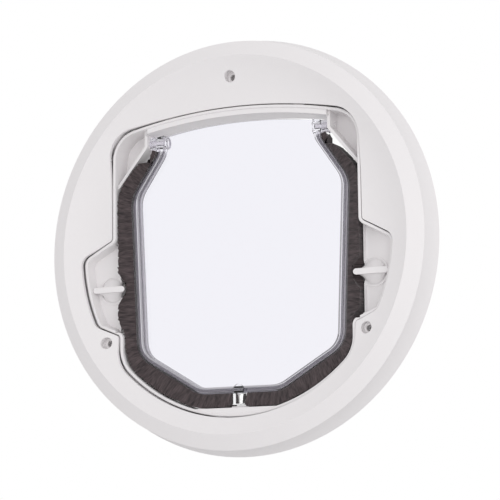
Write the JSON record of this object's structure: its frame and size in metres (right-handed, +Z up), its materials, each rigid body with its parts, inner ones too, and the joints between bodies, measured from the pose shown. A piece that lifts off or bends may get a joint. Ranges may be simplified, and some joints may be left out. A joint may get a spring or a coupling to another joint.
{
  "type": "round glass-fitting cat flap with brush seal and magnetic catch",
  "caption": "Round white cat flap for a pane, with a clear swinging flap, a dark brush seal, a magnet on the sill and turn catches at both sides",
  "frame": {"origin": "middle of the cover's circle, in the plane of the pane's room side, where the front gasket seats", "axes": "X to the right, Y from the room to the outside, Z up"},
  "size_m": [0.26, 0.0375, 0.26],
  "materials": {
    "white_plastic": "satin moulded",
    "clear_plastic": "clear moulded",
    "brush": "pile",
    "foam": "foam",
    "steel": "plain"
  },
  "bodies": {
    "frame": {"front_cover": "white_plastic", "inner_frame": "white_plastic", "rear_ring": "white_plastic", "front_gasket": "foam", "rear_gasket": "foam", "left_hinge_pin": "white_plastic", "right_hinge_pin": "white_plastic", "sill_magnet": "steel", "sill_magnet_cover": "white_plastic", "frame_screws": "steel"},
    "flap": {"flap_panel": "clear_plastic", "brush_pile_left": "brush", "brush_pile_right": "brush", "brush_backing_left": "white_plastic", "brush_backing_right": "white_plastic", "magnet_clip": "clear_plastic", "flap_magnet": "steel"},
    "left_turn": {"left_catch": "white_plastic", "left_catch_pawl": "white_plastic", "left_catch_screw": "steel"},
    "right_turn": {"right_catch": "white_plastic", "right_catch_pawl": "white_plastic", "right_catch_screw": "steel"}
  },
  "joints": [
    {"name": "flap_swing", "type": "hinge", "parent": "frame", "child": "flap", "pos_m": [0, -0.0025, 0.07], "axis": [1, 0, 0], "range_deg": [-80, 80]},
    {"name": "left_catch_turn", "type": "hinge", "parent": "frame", "child": "left_turn", "pos_m": [-0.0896, -0.005, -0.0223], "axis": [0, -1, 0], "range_deg": [0, 90]},
    {"name": "right_catch_turn", "type": "hinge", "parent": "frame", "child": "right_turn", "pos_m": [0.0896, -0.005, -0.0223], "axis": [0, 1, 0], "range_deg": [0, 90]}
  ]
}
